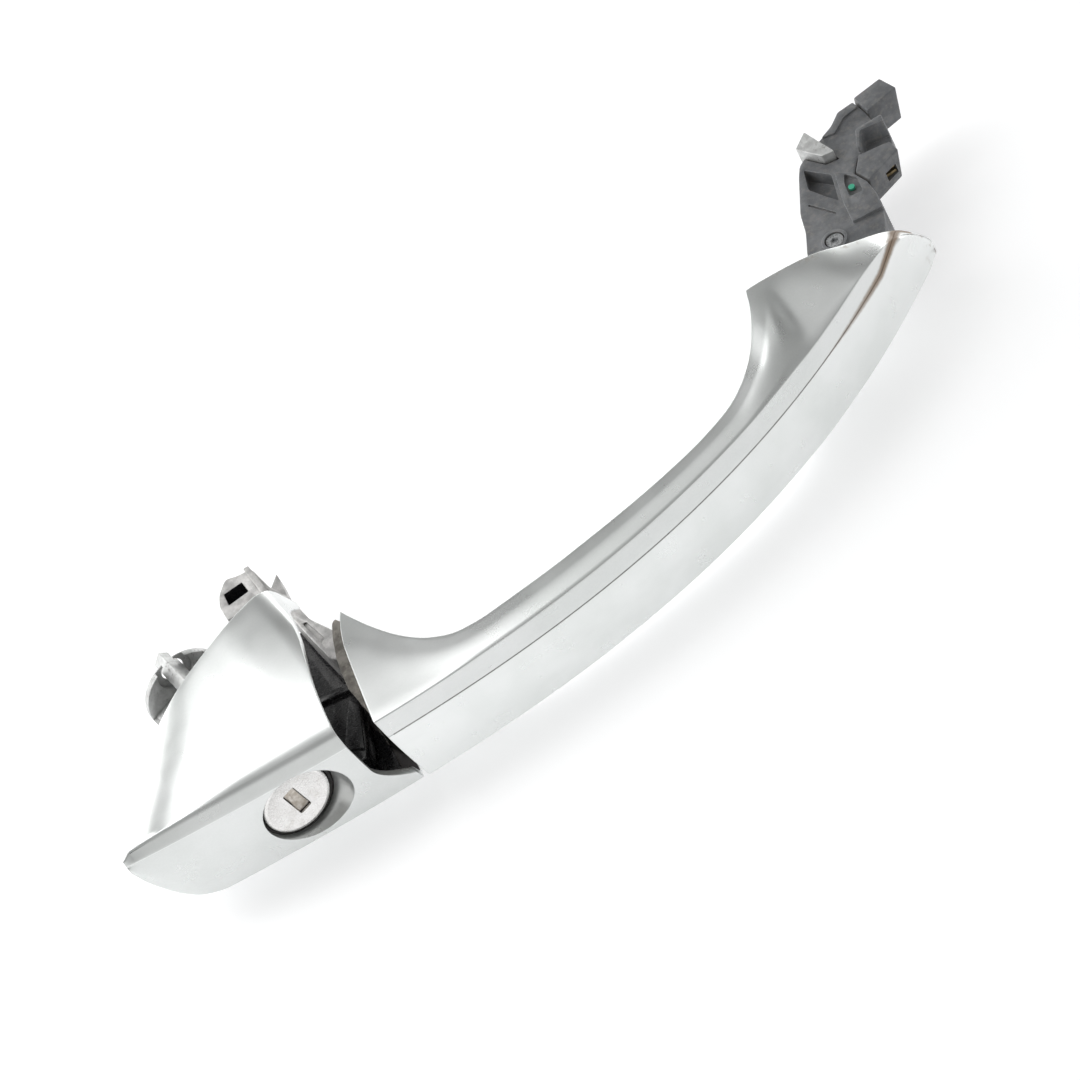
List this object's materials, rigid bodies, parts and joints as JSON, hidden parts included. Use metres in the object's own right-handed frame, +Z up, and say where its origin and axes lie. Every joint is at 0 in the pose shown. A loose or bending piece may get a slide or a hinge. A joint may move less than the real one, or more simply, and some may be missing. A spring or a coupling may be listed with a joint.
{
  "type": "car door handle",
  "caption": "Exterior pull handle for a car door: hinged painted grip with foot and latch arm, fixed rear cap with key lock.",
  "frame": {"origin": "on the flat door-side seat of the grip's front flange, at mid height of its rear land; this seat lies on the nominal door skin plane", "axes": "+X along the handle towards the front hinge, +Y into the door, +Z up"},
  "size_m": [0.2859, 0.0955, 0.0428],
  "materials": {
    "silver_paint": "metallic clear coat",
    "grip_end_plastic": "rough moulded",
    "black_frame": "glossy moulded",
    "polished_steel": "polished",
    "die_cast": "as cast, lightly corroded",
    "fastener_steel": "zinc plated",
    "black_rubber": "matt",
    "dark_plastic": "glass filled, matt",
    "contact_metal": "plated contacts",
    "green_plug": "smooth",
    "potting": "potted",
    "board": "solder mask"
  },
  "bodies": {
    "cap_base": {"lock_cap": "silver_paint", "cap_inner_frame": "black_frame", "lock_seal_ring": "black_rubber", "lock_housing": "die_cast", "housing_screw": "fastener_steel"},
    "grip": {"grip_outer_cover": "silver_paint", "grip_inner_body": "silver_paint", "grip_end_insert": "grip_end_plastic", "latch_arm": "die_cast", "hinge_foot": "dark_plastic", "foot_hook": "die_cast", "connector_a": "dark_plastic", "connector_b": "dark_plastic", "pin_a_1": "contact_metal", "pin_a_2": "contact_metal", "pin_a_3": "contact_metal", "pin_b_1": "contact_metal", "pin_b_2": "contact_metal", "foot_screw": "fastener_steel", "seal_plug_green": "green_plug", "antenna_module": "potting", "sensor_board": "board", "sensor_strip": "contact_metal"},
    "lock_core": {"lock_face": "polished_steel", "lock_plug": "die_cast", "plug_retaining_clip": "fastener_steel", "tail_driver": "die_cast"},
    "shutter": {"key_shutter": "polished_steel"}
  },
  "joints": [
    {"name": "grip_pull", "type": "hinge", "parent": "cap_base", "child": "grip", "pos_m": [0.04, 0.0415, 0], "axis": [0, 0, 1], "range_deg": [0, 8], "stiffness_Nm_per_rad": 0.6},
    {"name": "lock_turn", "type": "hinge", "parent": "cap_base", "child": "lock_core", "pos_m": [-0.1735, -0.0342, 0], "axis": [-0.0802, 0.9968, 0], "range_deg": [-75, 75]},
    {"name": "shutter_flap", "type": "hinge", "parent": "lock_core", "child": "shutter", "pos_m": [-0.17473, -0.03295, -0.00022], "axis": [-0.1902, -0.0153, 0.9816], "range_deg": [0, 75], "stiffness_Nm_per_rad": 0.0002}
  ]
}
